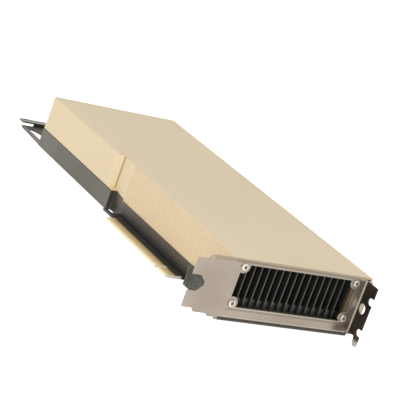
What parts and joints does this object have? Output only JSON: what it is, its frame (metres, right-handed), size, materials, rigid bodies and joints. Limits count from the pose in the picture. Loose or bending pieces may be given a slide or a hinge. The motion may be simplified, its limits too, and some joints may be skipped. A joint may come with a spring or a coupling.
{
  "type": "passive accelerator card",
  "caption": "Passive double-slot full-length accelerator card: gold cover over a finned heat sink, vented bracket, gold edge connector and a rear extender.",
  "frame": {"origin": "centre of the key notch at the contact tips, halfway through the circuit board", "axes": "+X along the card from the bracket to the far end, +Y towards the socket that the contacts plug into, +Z from the board towards the cover"},
  "size_m": [0.3234, 0.1263, 0.0398],
  "materials": {
    "gold_paint": "satin champagne gold",
    "nickel_sheet": "satin nickel plate",
    "bright_screw": "bright plated",
    "dark_casting": "satin dark grey",
    "black_sheet": "satin black",
    "black_steel": "black oxide",
    "clear_film": "thin film",
    "board_mask": "dark solder mask",
    "gold_contact": "hard gold plate",
    "package_green": "laminate",
    "stiffener_metal": "satin",
    "silicon": "polished",
    "memory_black": "moulded",
    "paste_grey": "soft",
    "choke_grey": "pressed powder",
    "chip_black": "moulded",
    "pad_blue": "soft",
    "can_metal": "bright",
    "socket_black": "moulded",
    "pin_tin": "tin plate",
    "base_aluminium": "machined",
    "fin_black": "black, satin"
  },
  "bodies": {
    "root": {"io_bracket": "nickel_sheet", "bracket_screws": "bright_screw", "cover": "gold_paint", "inner_frame": "dark_casting", "back_plate": "black_sheet", "insulating_film": "clear_film", "back_plate_screws": "black_steel", "circuit_board": "board_mask", "contacts_component_side": "gold_contact", "contacts_solder_side": "gold_contact", "package_substrate": "package_green", "package_stiffener": "stiffener_metal", "processor_die": "silicon", "memory_stacks": "memory_black", "thermal_paste": "paste_grey", "chokes": "choke_grey", "power_stages": "chip_black", "choke_pads": "pad_blue", "capacitors": "can_metal", "power_socket": "socket_black", "power_pins": "pin_tin", "heat_sink_base": "base_aluminium", "heat_sink_fins": "fin_black", "extender": "dark_casting", "extender_screws": "black_steel"}
  },
  "joints": []
}
